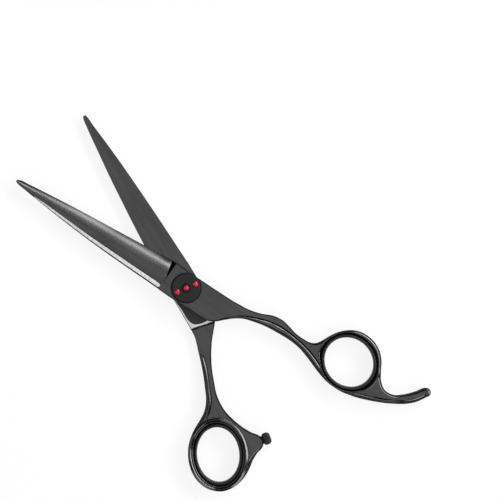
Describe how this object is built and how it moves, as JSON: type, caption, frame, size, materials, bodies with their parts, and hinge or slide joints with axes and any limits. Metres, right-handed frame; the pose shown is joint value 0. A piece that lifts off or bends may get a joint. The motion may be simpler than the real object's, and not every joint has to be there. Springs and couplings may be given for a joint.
{
  "type": "hair cutting shears",
  "caption": "Offset-handle hair cutting shears with hollow-ground blades, dial tension pivot with red crystals, finger rest, ring inserts and knurled stop.",
  "frame": {"origin": "pivot axis at the flush rear head of the pivot post, which is the lower rest face", "axes": "+X from the pivot along the finger blade towards its tip, +Z along the pivot axis out through the dial, +Y by the right-hand rule, towards the thumb ring"},
  "size_m": [0.1723, 0.0931, 0.0086],
  "materials": {
    "coated_steel": "gunmetal coated, satin flats and polished rounds",
    "coated_steel_thumb": "gunmetal coated, satin flats and polished rounds",
    "dark_steel": "black coated",
    "white_plastic": "natural",
    "bush_plastic": "natural",
    "spring_steel": "bare",
    "plate_steel": "bare",
    "ball_steel": "polished",
    "dial_black": "black anodised satin",
    "red_crystal": "foil-backed faceted",
    "ring_rubber": "soft matt",
    "stop_rubber": "knurled"
  },
  "bodies": {
    "finger_half": {"finger_half": "coated_steel", "pivot_bush": "bush_plastic", "finger_ring_insert": "ring_rubber"},
    "thumb_half": {"thumb_half": "coated_steel_thumb", "pivot_post": "dark_steel", "ride_washer": "white_plastic", "spring_washer": "spring_steel", "click_plate": "plate_steel", "thumb_ring_insert": "ring_rubber", "stop_stud": "dark_steel", "stop_cap": "stop_rubber", "centre_crystal": "red_crystal"},
    "dial": {"tension_dial": "dial_black", "click_ball": "ball_steel", "left_crystal": "red_crystal", "right_crystal": "red_crystal"}
  },
  "joints": [
    {"name": "blade_pivot", "type": "hinge", "parent": "finger_half", "child": "thumb_half", "pos_m": [0, 0, 0.0032], "axis": [0, 0, -1], "range_deg": [-26.4, 50]},
    {"name": "dial_turn", "type": "hinge", "parent": "thumb_half", "child": "dial", "pos_m": [0, 0, 0.0073], "axis": [0, 0, 1], "range_deg": [-90, 90]}
  ]
}
